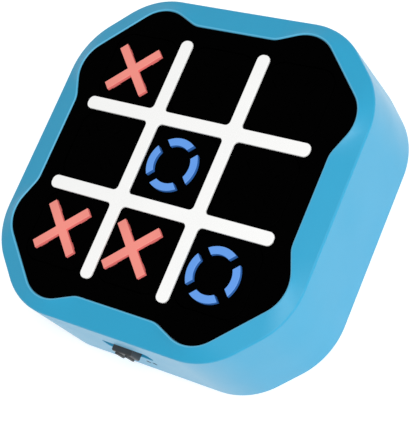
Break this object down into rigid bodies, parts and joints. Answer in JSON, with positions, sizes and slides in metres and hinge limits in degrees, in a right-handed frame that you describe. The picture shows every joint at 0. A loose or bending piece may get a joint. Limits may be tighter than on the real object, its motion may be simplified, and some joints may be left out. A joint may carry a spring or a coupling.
{
  "type": "electronic tic tac toe game",
  "caption": "Hand-held electronic tic tac toe game: a square case with wavy black face, white grid, light-up keys marked with a cross and a ring, side slide switch and battery door.",
  "frame": {"origin": "middle of the flat back, on the surface that the game lies on", "axes": "+X along the rows of the grid to the right, +Y up the face, +Z out of the face; the slide switch is in the -Y side wall"},
  "size_m": [0.0942, 0.096, 0.0301],
  "materials": {
    "blue_plastic": "moulded sky-blue plastic with a fine satin surface",
    "black_panel": "deep black moulded plastic",
    "smoked_key": "smoked plastic that looks black until it is lit",
    "white_plastic": "white plastic with a fine matte grain",
    "grey_plastic": "plain grey plastic",
    "dark_grey_plastic": "dark grey moulded plastic",
    "black_plastic": "black moulded plastic",
    "red_mark": "red light guide, lit",
    "blue_mark": "blue light guide, lit",
    "unlit_mark": "smoked light guide, unlit",
    "board": "green solder mask",
    "red_lens": "clear red lens",
    "blue_lens": "clear blue lens",
    "steel": "zinc-plated steel",
    "contact_metal": "nickel-plated spring steel",
    "cell_sleeve": "printed shrink sleeve, plain"
  },
  "bodies": {
    "case": {"upper_shell": "blue_plastic", "back_cover": "blue_plastic", "bezel_panel": "black_panel", "grid": "white_plastic", "light_baffle": "grey_plastic", "circuit_board": "board", "tact_bodies": "black_plastic", "red_lights": "red_lens", "blue_lights": "blue_lens", "control_chip": "black_plastic", "capacitor": "cell_sleeve", "buzzer": "black_plastic", "board_screws": "steel", "slide_switch_body": "contact_metal", "case_screws": "steel", "battery_cells": "cell_sleeve", "contact_springs": "contact_metal", "contact_plates": "contact_metal"},
    "power_switch": {"power_knob": "dark_grey_plastic", "slide_switch_lever": "black_plastic"},
    "door": {"battery_door": "blue_plastic", "door_screw": "steel"},
    "button_top_left": {"key_top_left": "smoked_key", "cross_top_left": "red_mark", "ring_top_left": "unlit_mark", "plunger_top_left": "white_plastic"},
    "button_top_middle": {"key_top_middle": "smoked_key", "cross_top_middle": "unlit_mark", "ring_top_middle": "unlit_mark", "plunger_top_middle": "white_plastic"},
    "button_top_right": {"key_top_right": "smoked_key", "cross_top_right": "unlit_mark", "ring_top_right": "unlit_mark", "plunger_top_right": "white_plastic"},
    "button_centre_left": {"key_centre_left": "smoked_key", "cross_centre_left": "unlit_mark", "ring_centre_left": "unlit_mark", "plunger_centre_left": "white_plastic"},
    "button_centre_middle": {"key_centre_middle": "smoked_key", "cross_centre_middle": "unlit_mark", "ring_centre_middle": "blue_mark", "plunger_centre_middle": "white_plastic"},
    "button_centre_right": {"key_centre_right": "smoked_key", "cross_centre_right": "unlit_mark", "ring_centre_right": "unlit_mark", "plunger_centre_right": "white_plastic"},
    "button_bottom_left": {"key_bottom_left": "smoked_key", "cross_bottom_left": "red_mark", "ring_bottom_left": "unlit_mark", "plunger_bottom_left": "white_plastic"},
    "button_bottom_middle": {"key_bottom_middle": "smoked_key", "cross_bottom_middle": "red_mark", "ring_bottom_middle": "unlit_mark", "plunger_bottom_middle": "white_plastic"},
    "button_bottom_right": {"key_bottom_right": "smoked_key", "cross_bottom_right": "unlit_mark", "ring_bottom_right": "blue_mark", "plunger_bottom_right": "white_plastic"}
  },
  "joints": [
    {"name": "press_top_left", "type": "slide", "parent": "case", "child": "button_top_left", "axis": [0, 0, -1], "range_m": [0, 0.0008], "stiffness_N_per_m": 900, "springref_m": -0.0002},
    {"name": "press_top_middle", "type": "slide", "parent": "case", "child": "button_top_middle", "axis": [0, 0, -1], "range_m": [0, 0.0008], "stiffness_N_per_m": 900, "springref_m": -0.0002},
    {"name": "press_top_right", "type": "slide", "parent": "case", "child": "button_top_right", "axis": [0, 0, -1], "range_m": [0, 0.0008], "stiffness_N_per_m": 900, "springref_m": -0.0002},
    {"name": "press_centre_left", "type": "slide", "parent": "case", "child": "button_centre_left", "axis": [0, 0, -1], "range_m": [0, 0.0008], "stiffness_N_per_m": 900, "springref_m": -0.0002},
    {"name": "press_centre_middle", "type": "slide", "parent": "case", "child": "button_centre_middle", "axis": [0, 0, -1], "range_m": [0, 0.0008], "stiffness_N_per_m": 900, "springref_m": -0.0002},
    {"name": "press_centre_right", "type": "slide", "parent": "case", "child": "button_centre_right", "axis": [0, 0, -1], "range_m": [0, 0.0008], "stiffness_N_per_m": 900, "springref_m": -0.0002},
    {"name": "press_bottom_left", "type": "slide", "parent": "case", "child": "button_bottom_left", "axis": [0, 0, -1], "range_m": [0, 0.0008], "stiffness_N_per_m": 900, "springref_m": -0.0002},
    {"name": "press_bottom_middle", "type": "slide", "parent": "case", "child": "button_bottom_middle", "axis": [0, 0, -1], "range_m": [0, 0.0008], "stiffness_N_per_m": 900, "springref_m": -0.0002},
    {"name": "press_bottom_right", "type": "slide", "parent": "case", "child": "button_bottom_right", "axis": [0, 0, -1], "range_m": [0, 0.0008], "stiffness_N_per_m": 900, "springref_m": -0.0002},
    {"name": "power_slide", "type": "slide", "parent": "case", "child": "power_switch", "axis": [1, 0, 0], "range_m": [-0.002, 0.002]},
    {"name": "door_swing", "type": "hinge", "parent": "case", "child": "door", "pos_m": [-0.03065, 0, 0], "axis": [0, 1, 0], "range_deg": [0, 45]}
  ]
}
